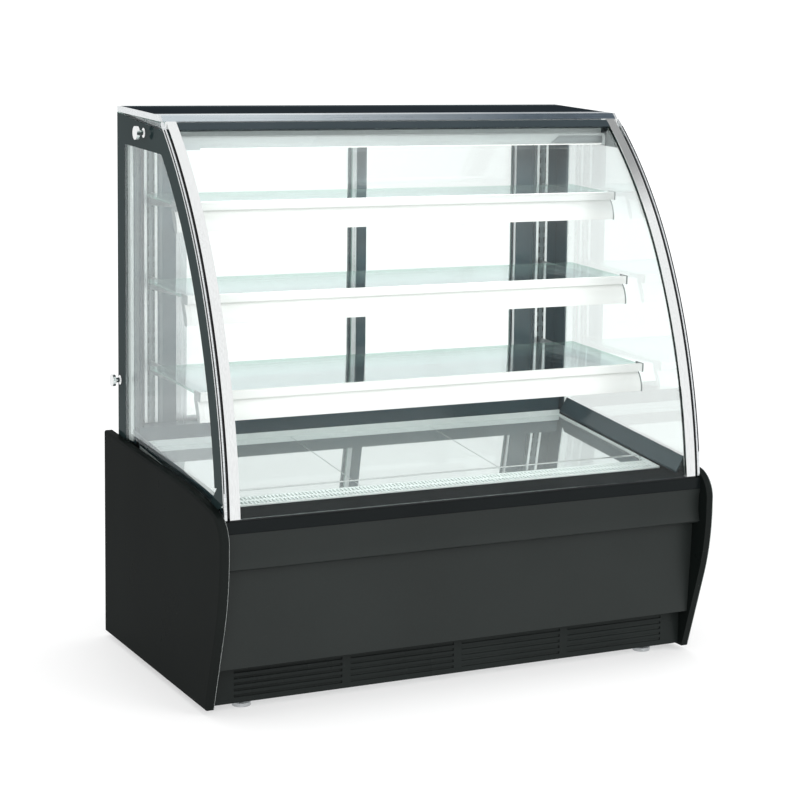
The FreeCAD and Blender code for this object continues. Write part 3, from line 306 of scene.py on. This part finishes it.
FINISH = {
    # The end panels carry a painted highlight, pale grey, down their corners that face the key light.
    "end_panel": painted("satin_end_panel", (0.0052, 0.0070, 0.0065), 0.32, 0.010, 0.04, peel=0.06,
                         lit=(0.42, 0.45, 0.44)),
    "front_paint": painted("satin_front_panel", (0.0175, 0.0210, 0.0200), 0.38, 0.016, 0.08, spread=0.08,
                           peel=0.06),
    "black_rail": painted("gloss_black_rail", (0.0070, 0.0090, 0.0095), 0.16, 0.008, 0.010, peel=0.03,
                          wear=0.2),
    "slate": painted("slate_extrusion", (0.034, 0.062, 0.074), 0.12, 0.055, 0.45, peel=0.02),
    "dark_top": painted("gloss_slate_top", (0.0065, 0.0105, 0.0140), 0.16, 0.008, 0.012, peel=0.02),
    "dark_rail": painted("slate_powder_coat", (0.026, 0.037, 0.043), 0.35, 0.015, 0.06, peel=0.18),
    "rear_sheet": painted("black_powder_coat", (0.012, 0.013, 0.013), 0.42, 0.025, 0.15, peel=0.25),
    "white_fascia": painted("white_fascia_plastic", (0.94, 0.94, 0.93), 0.18, 0.04, 0.5, spread=0.015,
                            peel=0.02, wear=0.05),
    "grey_plastic": painted("grey_end_cap_plastic", (0.24, 0.26, 0.265), 0.38, 0.03, 0.3, spread=0.05,
                            peel=0.2, wear=0.10),
    "white_paint": painted("white_enamel", (0.80, 0.85, 0.84), 0.24, 0.04, 0.5, spread=0.03, peel=0.08,
                           wear=0.1),
    "rubber": painted("black_rubber", (0.012, 0.013, 0.014), 0.6, 0.02, 0.10, spread=0.2, peel=0.4),
    "compressor_black": painted("black_enamel", (0.010, 0.010, 0.011), 0.2, 0.04, 0.4, peel=0.15),
    "fan_plastic": painted("black_moulded_plastic", (0.018, 0.018, 0.020), 0.45, 0.03, 0.2, peel=0.3),
    "foam_white": painted("foam_moulding", (0.66, 0.67, 0.64), 0.7, 0.02, 0.1, spread=0.08, peel=0.5),
    "aluminium": brushed("satin_aluminium", (0.78, 0.80, 0.81), 0.26, ALONG_X),
    "polished": brushed("polished_stainless", (0.86, 0.87, 0.87), 0.07, ALONG_Z, relief=0.03, spread=0.04),
    "stainless": brushed("brushed_stainless", (0.66, 0.68, 0.68), 0.24, ALONG_X),
    "copper": brushed("drawn_copper", (0.72, 0.38, 0.24), 0.22, ALONG_Z, spread=0.2),
    "galvanised": spangled("galvanised_sheet", (0.55, 0.57, 0.58), 0.42),
    "diffuser": opal("opal_diffuser", (0.92, 0.94, 0.93), 2.2),
}
UPRIGHT_ALUMINIUM = brushed("upright_aluminium", (0.78, 0.80, 0.81), 0.26, ALONG_Z)
STANDARD_HALF = 16 * MM
STANDARD_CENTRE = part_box("shelf_standards")[1].x - STANDARD_HALF
# Painted shade on the top front strip: its colour darkens from its left end towards its right, between these
# x values.
STRIP_SHADE_START = -350 * MM
STRIP_SHADE_FULL = 330 * MM
STANDARD_STEEL = brushed("slotted_standard_steel", (0.12, 0.145, 0.15), 0.24, ALONG_Z, edge=0.8 * MM,
                         second=(STANDARD_CENTRE, 8.5 * MM, 10 * MM, (0.97, 0.99, 0.99)))
MIRROR_STEEL = brushed("mirror_deck_steel", (0.80, 0.83, 0.83), 0.03, ALONG_X, relief=0.001, spread=0.02,
                       metal=0.72)
# The strip's second colour is painted shade: a dark slate grey that comes in along the strip towards the
# right.
TOP_STRIP = brushed("grey_anodised_strip", (0.60, 0.66, 0.70), 0.22, ALONG_X, relief=0.05, spread=0.05,
                    second=(0, STRIP_SHADE_START, STRIP_SHADE_FULL, (0.15, 0.19, 0.23)))
CANOPY = painted("canopy_enamel", (0.62, 0.66, 0.66), 0.3, 0.04, 0.5, spread=0.03, peel=0.05, wear=0.1)
LAMP_END = painted("lamp_end_plastic", (0.60, 0.64, 0.65), 0.35, 0.04, 0.3, spread=0.03, peel=0.15, wear=0.1)
DRIVER_CASE = brushed("driver_case_aluminium", (0.42, 0.45, 0.46), 0.3, ALONG_X)
KICK_PAINT = painted("gloss_black_kick", (0.0125, 0.0155, 0.0148), 0.3, 0.010, 0.03, peel=0.05, wear=0.1)
FILTER_FELT = painted("black_filter_felt", (0.016, 0.019, 0.018), 0.9, 0.01, 0.03, spread=0.4, peel=0.9)
EDGING = painted("black_edging", (0.010, 0.012, 0.014), 0.3, 0.02, 0.15, peel=0.1)
PRINT = printed("ceramic_print", (0.017, 0.029, 0.030))
SIDE_PANE = pane("side_pane_glass", WALL_X, True, mirror=(0.014, 0.34))
FRONT_PANE = pane("front_pane_glass", WALL_X, False, mirror=(0.010, 0.30))
DOOR_PANE = pane("door_pane_glass", WALL_Y, True)
SHELF_PANE = pane("shelf_glass", WALL_Z, True, tint=(0.965, 0.976, 0.973))

SPECIAL = {
    "side_glass_left": SIDE_PANE, "side_glass_right": SIDE_PANE, "front_glass": FRONT_PANE,
    "door_left_glass": DOOR_PANE, "door_right_glass": DOOR_PANE, "shelf_glasses": SHELF_PANE,
    "shelf_standards": STANDARD_STEEL, "rear_jambs": UPRIGHT_ALUMINIUM, "door_left_frame": UPRIGHT_ALUMINIUM,
    "lamp_canopy": CANOPY, "deck_plates": MIRROR_STEEL, "top_front_rail": TOP_STRIP,
    "kick_grille": KICK_PAINT,
}


def dress_nodes():
    """Each CAD node takes the finish of its own material slot, unless SPECIAL names another."""
    slots = {part["node"]: part["material_slot"] for part in frame["record"]["subparts"]}
    for node, thing in NODES.items():
        thing.data.materials.clear()
        thing.data.materials.append(SPECIAL.get(node) or FINISH[slots[node]])


# ---------------------------------------------------------------- mesh building blocks

WELD = 1e-6
SMALL_ROUND = 0.5 * MM
LARGE_ROUND = 0.8 * MM


def piece(name, mesh, body, finish, rounding=0.0):
    """A finished piece on a CAD body, with its outer corners rounded by a bevel."""
    thing = bpy.data.objects.new(name, mesh)
    bpy.context.scene.collection.objects.link(thing)
    mesh.materials.append(finish)
    if rounding:
        bevel = thing.modifiers.new("rounding", "BEVEL")
        bevel.width = rounding
        bevel.segments = 3
        bevel.limit_method = "ANGLE"
    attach(thing, body)


def closed_mesh(name, bm):
    bmesh.ops.remove_doubles(bm, verts=bm.verts, dist=WELD)
    bmesh.ops.recalc_face_normals(bm, faces=bm.faces)
    mesh = bpy.data.meshes.new(name)
    bm.to_mesh(mesh)
    bm.free()
    return mesh


def add_prism(bm, outline, start, end, axis="x"):
    """A closed prism: (u, v) corners swept along an axis. u and v are the other two axes, in order."""
    def corner(u, v, along):
        return {"x": (along, u, v), "y": (u, along, v), "z": (u, v, along)}[axis]
    rings = [[bm.verts.new(corner(u, v, along)) for u, v in outline] for along in (start, end)]
    bm.faces.new(rings[0])
    bm.faces.new(rings[1][::-1])
    count = len(outline)
    for index in range(count):
        after = (index + 1) % count
        bm.faces.new((rings[0][after], rings[0][index], rings[1][index], rings[1][after]))


def rectangle(low_u, low_v, high_u, high_v):
    return [(low_u, low_v), (high_u, low_v), (high_u, high_v), (low_u, high_v)]


def add_screw(bm, place, radius):
    """A button head with a hexagon socket; place puts its seat, whose outward side is +Z."""
    tall = radius * 0.6
    steps = 24

    def ring(reach, height, socket=False):
        corners = []
        for index in range(steps):
            angle = 2 * math.pi * index / steps
            flat = math.cos(math.pi / 6) / math.cos(angle % (math.pi / 3) - math.pi / 6) if socket else 1.0
            point = Vector((reach * flat * math.cos(angle), reach * flat * math.sin(angle), height))
            corners.append(bm.verts.new(place @ point))
        return corners

    rings = [ring(radius, 0.0), ring(radius, tall * 0.3), ring(radius * 0.85, tall * 0.8),
             ring(radius * 0.6, tall), ring(radius * 0.45, tall, True),
             ring(radius * 0.45, tall * 0.25, True)]
    bm.faces.new(rings[0])
    bm.faces.new(rings[-1])
    for lower, upper in zip(rings, rings[1:]):
        for index in range(steps):
            after = (index + 1) % steps
            bm.faces.new((lower[index], lower[after], upper[after], upper[index]))


# ---------------------------------------------------------------- printed borders of the side glass

EDGE_REAR_SLACK = 1 * MM
EDGE_FOOT_REACH = 5 * MM
EDGE_TOP_SLACK = 0.5 * MM
PRINT_THICK = 0.25 * MM
PRINT_GAP = 0.05 * MM
PRINT_MARGIN = 0.4 * MM
PRINT_TOP_MARGIN = 0.6 * MM
PRINT_TUCK_FRONT = 30 * MM
PRINT_TUCK_REAR = 60 * MM
PRINT_CORNER = 6 * MM
PRINT_FRONT = 45 * MM
PRINT_REAR = 53 * MM
PRINT_TOP = 82 * MM
PRINT_SLOPE = 0.048


def front_edge(node):
    """The curved front edge of a side pane, as (y, z) points from its foot to its top."""
    low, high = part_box(node)
    points = {(round(v.co.y, 6), round(v.co.z, 6)) for v in NODES[node].data.vertices}
    rear = high.y - EDGE_REAR_SLACK
    foot = min(z for y, z in points if y < low.y + EDGE_FOOT_REACH)
    curve = sorted((z, y) for y, z in points if y < rear and z >= foot - WELD)
    top = curve[-1][0]
    return [(y, z) for z, y in curve if z < top - EDGE_TOP_SLACK]


def offset_curve(points, inset):
    """The open curve moved by inset to its rear side."""
    moved = []
    for index, (y, z) in enumerate(points):
        y0, z0 = points[max(index - 1, 0)]
        y1, z1 = points[min(index + 1, len(points) - 1)]
        length = math.hypot(y1 - y0, z1 - z0)
        moved.append((y + inset * (z1 - z0) / length, z - inset * (y1 - y0) / length))
    return moved


def printed_border(word, side):
    """A thin ring on the pane's outer face: a strip behind the curve, a band under the top, a rear strip."""
    node = f"side_glass_{word}"
    low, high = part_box(node)
    curve = front_edge(node)
    visible = [point for point in curve if point[1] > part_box("front_rail")[1].z - PRINT_TUCK_FRONT]
    outer = offset_curve(visible, PRINT_MARGIN)
    rear = high.y - PRINT_MARGIN
    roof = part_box("top_side_strips")[1].z

    def top_line(y, drop):
        return min(high.z - PRINT_TOP_MARGIN, roof - drop) - (high.y - y) * PRINT_SLOPE

    inner = [(y, z) for y, z in offset_curve(visible, PRINT_FRONT) if z < top_line(y, PRINT_TOP)]
    foot_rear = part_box(f"side_panel_{word}")[1].z - PRINT_TUCK_REAR
    inner_rear = high.y - PRINT_REAR
    corner_y = inner[-1][0] + PRINT_CORNER
    corner = (corner_y, top_line(corner_y, PRINT_TOP))
    ring = outer + [(rear, top_line(rear, 0.0)), (rear, foot_rear), (inner_rear, foot_rear),
                    (inner_rear, top_line(inner_rear, PRINT_TOP)), corner] + inner[::-1]
    x = (high.x if side > 0 else low.x) + side * PRINT_GAP
    bm = bmesh.new()
    add_prism(bm, ring, x, x + side * PRINT_THICK)
    bm.normal_update()
    bmesh.ops.triangulate(bm, faces=bm.faces[:])
    piece(f"printed_border_{word}", closed_mesh(f"printed_border_{word}", bm), "cabinet", PRINT)


EDGING_WIDE = 2.6 * MM
EDGING_DEEP = 0.2 * MM
EDGING_PROUD = 0.4 * MM


def edging(word, side):
    """A black strip down the outer corner of the trim that covers the side pane's curved edge."""
    low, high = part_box(f"side_glass_{word}")
    trim_low, trim_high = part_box("side_edge_trims")
    curve = [point for point in front_edge(f"side_glass_{word}") if point[1] < trim_high.z]
    front = offset_curve(curve, trim_low.y - low.y - EDGING_PROUD)
    back = offset_curve(curve, trim_low.y - low.y + EDGING_DEEP)
    outer = (high.x if side > 0 else low.x) + side * EDGING_PROUD
    bm = bmesh.new()
    add_prism(bm, front + back[::-1], outer, outer - side * EDGING_WIDE)
    piece(f"black_edging_{word}", closed_mesh(f"black_edging_{word}", bm), "cabinet", EDGING)


# ---------------------------------------------------------------- lamp fittings

FITTING_GAP = 0.4 * MM
FITTING_WALL = 1.5 * MM
FITTING_DROP = 3 * MM
SHOE_LONG = 50 * MM
SHOE_RISE = 11 * MM
CASE_LONG = 139 * MM
CASE_DEEP = 3 * MM
CASE_RISE = 20 * MM
CASE_BEVEL = 22 * MM
CASE_GAP = 1 * MM
BRACKET_LONG = 8 * MM


def front_plate(name, outline, finish):
    """A plate in front of the canopy, from its (x, z) outline."""
    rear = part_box("lamp_canopy")[0].y - FITTING_GAP
    bm = bmesh.new()
    add_prism(bm, outline, rear - FITTING_WALL - CASE_DEEP, rear, "y")
    piece(name, closed_mesh(name, bm), "cabinet", finish, LARGE_ROUND)


def lamp_fittings():
    """A pale end shoe that sleeves over the canopy's left foot, and the driver case at its right end."""
    low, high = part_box("lamp_canopy")
    front = low.y - FITTING_GAP - FITTING_WALL
    foot = low.z - FITTING_DROP
    rise = low.z + SHOE_RISE
    shoe = [(front, foot), (high.y + FITTING_GAP, foot), (high.y + FITTING_GAP, low.z - FITTING_GAP),
            (low.y - FITTING_GAP, low.z - FITTING_GAP), (low.y - FITTING_GAP, rise), (front, rise)]
    bm = bmesh.new()
    add_prism(bm, shoe, low.x - FITTING_WALL, low.x + SHOE_LONG)
    piece("lamp_end_shoe", closed_mesh("lamp_end_shoe", bm), "cabinet", LAMP_END, SMALL_ROUND)

    bracket = high.x - BRACKET_LONG
    end = bracket - CASE_GAP
    start = end - CASE_LONG
    case_foot = low.z + FITTING_DROP
    roof = low.z + CASE_RISE
    case = [(start, case_foot), (end, case_foot), (end, roof), (start + CASE_BEVEL, roof)]
    front_plate("lamp_driver_case", case, DRIVER_CASE)
    front_plate("lamp_end_bracket", rectangle(bracket, foot, high.x, roof), CANOPY)


# ---------------------------------------------------------------- base and rear details

FILTER_GAP = 0.5 * MM
FILTER_THICK = 2 * MM
FILTER_FOOT = 4 * MM
FILTER_HEAD = 2 * MM
FILTER_END = 25 * MM


def dust_filter():
    """A thin felt behind the louvres of the kick plate."""
    low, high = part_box("kick_grille")
    front = high.y + FILTER_GAP
    outline = rectangle(front, low.z + FILTER_FOOT, front + FILTER_THICK, high.z - FILTER_HEAD)
    bm = bmesh.new()
    add_prism(bm, outline, low.x + FILTER_END, high.x - FILTER_END)
    piece("dust_filter", closed_mesh("dust_filter", bm), "cabinet", FILTER_FELT)


SCREW_INSET = 18 * MM
SCREW_RADIUS = 5 * MM
CONTROL_SCREW_INSET = 8 * MM
CONTROL_SCREW_RADIUS = 3 * MM


def rear_screws():
    """Button-head screws round the edge of the rear panel and at the ends of the control panel."""
    bm = bmesh.new()
    rearward = Matrix.Rotation(-math.pi / 2, 4, "X")
    low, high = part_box("rear_panel")
    panel_low, panel_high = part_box("control_panel")
    for x in (low.x + SCREW_INSET, low.x / 2, 0.0, high.x / 2, high.x - SCREW_INSET):
        for z in (low.z + SCREW_INSET, high.z - SCREW_INSET):
            if z < panel_low.z or not panel_low.x < x < panel_high.x:
                add_screw(bm, Matrix.Translation((x, high.y, z)) @ rearward, SCREW_RADIUS)
    middle = (panel_low.z + panel_high.z) / 2
    for x in (panel_low.x + CONTROL_SCREW_INSET, panel_high.x - CONTROL_SCREW_INSET):
        add_screw(bm, Matrix.Translation((x, panel_high.y, middle)) @ rearward, CONTROL_SCREW_RADIUS)
    piece("rear_screws", closed_mesh("rear_screws", bm), "cabinet", FINISH["stainless"])


TICKS = 11
TICK_START = -135
TICK_STEP = 27
TICK_GAP = 1.5 * MM
TICK_HALF = 0.4 * MM
TICK_RISE = 0.2 * MM
TICK_SHORT = 2.5 * MM
TICK_LONG = 4 * MM


def dial_ticks():
    """Eleven raised pale ticks round the thermostat knob, over three quarters of a turn."""
    low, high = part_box("thermostat_knob")
    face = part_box("control_panel")[1].y
    centre = Vector(((low.x + high.x) / 2, face, (low.z + high.z) / 2))
    near = (high.x - low.x) / 2 + TICK_GAP
    bm = bmesh.new()
    for index in range(TICKS):
        turn = Matrix.Rotation(math.radians(TICK_START + TICK_STEP * index), 4, "Y")
        long = TICK_LONG if index % 5 == 0 else TICK_SHORT
        start = len(bm.verts)
        add_prism(bm, rectangle(-TICK_HALF, near, TICK_HALF, near + long), 0.0, TICK_RISE, "y")
        bm.verts.ensure_lookup_table()
        bmesh.ops.transform(bm, matrix=Matrix.Translation(centre) @ turn, verts=bm.verts[start:])
    piece("dial_ticks", closed_mesh("dial_ticks", bm), "cabinet", FINISH["white_paint"])


SEAL_FRONT = 2 * MM
SEAL_REAR = 31 * MM
SEAL_FOOT = 6 * MM
SEAL_HEAD = 30 * MM
SEAL_POST_GAP = 0.5 * MM
SEAL_GLASS_GAP = 0.3 * MM


def glass_seal(word, side):
    """A pale seal between the side pane's rear border and the post beside it."""
    low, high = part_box("rear_posts")
    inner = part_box(f"side_glass_{word}")[1 if side < 0 else 0].x
    outline = rectangle(low.y + SEAL_FRONT, low.z + SEAL_FOOT, low.y + SEAL_REAR, high.z - SEAL_HEAD)
    bm = bmesh.new()
    add_prism(bm, outline, side * (high.x + SEAL_POST_GAP), inner - side * SEAL_GLASS_GAP)
    name = f"glass_seal_{word}"
    piece(name, closed_mesh(name, bm), "cabinet", FINISH["white_paint"], LARGE_ROUND)


PULL_HALF_WIDE = 8 * MM
PULL_HALF_TALL = 55 * MM
PULL_RIM = 2.5 * MM
PULL_GAP = 0.05 * MM
PULL_FLOOR = 0.6 * MM
PULL_RISE = 2.4 * MM
LEFT_PULL_INSET = 16 * MM
RIGHT_PULL_INSET = 28 * MM


def door_pull(word, inset):
    """A shallow finger cup on the rear face of the door's left stile."""
    low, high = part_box(f"door_{word}_frame")
    middle = (low.z + high.z) / 2
    left, right = low.x + inset - PULL_HALF_WIDE, low.x + inset + PULL_HALF_WIDE
    foot, head = middle - PULL_HALF_TALL, middle + PULL_HALF_TALL
    back = high.y + PULL_GAP
    bm = bmesh.new()
    add_prism(bm, rectangle(left, foot, right, head), back, back + PULL_FLOOR, "y")
    for span in ((left, foot, left + PULL_RIM, head),
                 (right - PULL_RIM, foot, right, head),
                 (left + PULL_RIM, foot, right - PULL_RIM, foot + PULL_RIM),
                 (left + PULL_RIM, head - PULL_RIM, right - PULL_RIM, head)):
        add_prism(bm, rectangle(*span), back + PULL_FLOOR, back + PULL_RISE, "y")
    name = f"door_{word}_pull"
    piece(name, closed_mesh(name, bm), f"{word}_door", FINISH["fan_plastic"])


# ---------------------------------------------------------------- stage, light and camera

FLOOR_RADIUS = 4.0
FLOOR_CORNERS = 96
FADE_START = 0.6
FADE_END = 1.3


def stage():
    """A pale floor, partly self-lit near the case, that fades into the plain white backdrop."""
    floor = Surface("pale_floor")
    tone = floor.toned((0.90, 0.90, 0.90), 0.01, floor.noise(1.2, 4.0))
    near = floor.shader("BsdfDiffuse", Color=tone, Normal=floor.bumped(floor.noise(120.0), 0.03, edge=None))
    far = floor.shader("Emission", Color=(1, 1, 1), Strength=1.1)
    reach = floor.add("VectorMath", operation="LENGTH")
    floor.join(floor.place, reach.inputs[0])
    away = floor.ranged(reach.outputs["Value"], 0.45, 1.0, FADE_START, FADE_END)
    floor.done(floor.mixed(away, near, far))
    bm = bmesh.new()
    angles = [2 * math.pi * index / FLOOR_CORNERS for index in range(FLOOR_CORNERS)]
    bm.faces.new([bm.verts.new((FLOOR_RADIUS * math.cos(angle), FLOOR_RADIUS * math.sin(angle), 0.0))
                  for angle in angles])
    thing = bpy.data.objects.new("studio_floor", closed_mesh("studio_floor", bm))
    bpy.context.scene.collection.objects.link(thing)
    thing.data.materials.append(floor.material)


SEEN_STRENGTH = 1.2
MATTE_STRENGTH = 0.75
CEILING_SHADE = 0.60


def world():
    """White studio: plain white to the camera, with a darker ceiling on the right in reflections only."""
    made = bpy.data.worlds.new("studio")
    bpy.context.scene.world = made
    made.use_nodes = True
    tree = made.node_tree
    tree.nodes.clear()

    def shade(socket, start, end, low, high):
        node = tree.nodes.new("ShaderNodeMapRange")
        tree.links.new(socket, node.inputs["Value"])
        for key, number in (("From Min", start), ("From Max", end), ("To Min", low), ("To Max", high)):
            node.inputs[key].default_value = number
        return node.outputs["Result"]

    def combine(operation, first, second):
        node = tree.nodes.new("ShaderNodeMath")
        node.operation = operation
        for socket, value in zip(node.inputs, (first, second)):
            if isinstance(value, float):
                socket.default_value = value
            else:
                tree.links.new(value, socket)
        return node.outputs[0]

    place = tree.nodes.new("ShaderNodeTexCoord")
    parts = tree.nodes.new("ShaderNodeSeparateXYZ")
    tree.links.new(place.outputs["Generated"], parts.inputs[0])
    east, height = parts.outputs[0], parts.outputs[2]
    overhead = shade(height, 0.74, 0.83, 0.0, 1.0)
    ceiling = combine("MULTIPLY", overhead, shade(east, 0.40, 0.50, 0.0, CEILING_SHADE))
    light = combine("SUBTRACT", 1.0, ceiling)
    path = tree.nodes.new("ShaderNodeLightPath")
    glossy = path.outputs["Is Glossy Ray"]
    seen = path.outputs["Is Camera Ray"]
    matte = combine("SUBTRACT", combine("SUBTRACT", 1.0, glossy), seen)
    strength = combine("ADD", combine("MULTIPLY", glossy, light), combine("MULTIPLY", seen, SEEN_STRENGTH))
    sky = tree.nodes.new("ShaderNodeBackground")
    sky.inputs["Color"].default_value = (0.99, 1.0, 1.0, 1)
    total = combine("ADD", strength, combine("MULTIPLY", matte, MATTE_STRENGTH))
    tree.links.new(total, sky.inputs["Strength"])
    output = tree.nodes.new("ShaderNodeOutputWorld")
    tree.links.new(sky.outputs[0], output.inputs["Surface"])


def soft_light(name, place, target, size, power):
    """A white rectangular lamp that reflections don't show."""
    lamp = bpy.data.lights.new(name, "AREA")
    lamp.shape = "RECTANGLE"
    lamp.size, lamp.size_y = size
    lamp.energy = power
    thing = bpy.data.objects.new(name, lamp)
    bpy.context.scene.collection.objects.link(thing)
    thing.visible_glossy = False
    thing.location = place
    thing.rotation_euler = (Vector(target) - Vector(place)).to_track_quat("-Z", "Y").to_euler()


def lights():
    soft_light("key_softbox", (2.0, -3.6, 2.2), (0, 0, 0.8), (2.4, 2.4), 90)
    soft_light("fill_softbox", (-2.4, -3.8, 1.6), (0, 0, 0.8), (2.4, 2.4), 50)
    soft_light("top_softbox", (0, 0.2, 3.6), (0, 0, 0.9), (3.0, 2.4), 60)
    low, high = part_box("lamp_canopy")
    soft_light("case_light", ((low.x + high.x) / 2, high.y + 20 * MM, low.z - 12 * MM),
               (0, high.y - 60 * MM, 0.4), (1.0, 0.04), 5.0)


CAMERA_PLACE = (-2.105, -4.267, 1.388)
CAMERA_LENS = 94.13
CAMERA_SHIFT = -0.158


def camera():
    """Seen from the front left, 26 degrees off the case's axis and 6 degrees above the horizon."""
    yaw, pitch, roll = (math.radians(angle) for angle in (26.12, 6.16, 0.58))
    ahead = Vector((math.sin(yaw) * math.cos(pitch), math.cos(yaw) * math.cos(pitch), -math.sin(pitch)))
    level = Vector((math.cos(yaw), -math.sin(yaw), 0))
    upright = level.cross(ahead)
    right = math.cos(roll) * level + math.sin(roll) * upright
    up = math.cos(roll) * upright - math.sin(roll) * level
    data = bpy.data.cameras.new("camera")
    data.sensor_width = 36.0
    data.lens = CAMERA_LENS
    data.shift_y = CAMERA_SHIFT
    data.clip_end = 100.0
    thing = bpy.data.objects.new("camera", data)
    bpy.context.scene.collection.objects.link(thing)
    turn = Matrix((right, up, -ahead)).transposed().to_4x4()
    thing.matrix_world = Matrix.Translation(CAMERA_PLACE) @ turn
    bpy.context.scene.camera = thing


def film():
    """Plain colour response, and enough see-through bounces for every pane in a row."""
    scene = bpy.context.scene
    scene.view_settings.view_transform = "Standard"
    scene.cycles.transparent_max_bounces = 48
    scene.cycles.max_bounces = 10


# ---------------------------------------------------------------- assembly

dress_nodes()
printed_border("left", -1)
printed_border("right", 1)
edging("left", -1)
edging("right", 1)
lamp_fittings()
dust_filter()
glass_seal("left", -1)
glass_seal("right", 1)
rear_screws()
dial_ticks()
door_pull("left", LEFT_PULL_INSET)
door_pull("right", RIGHT_PULL_INSET)
stage()
world()
lights()
camera()
film()
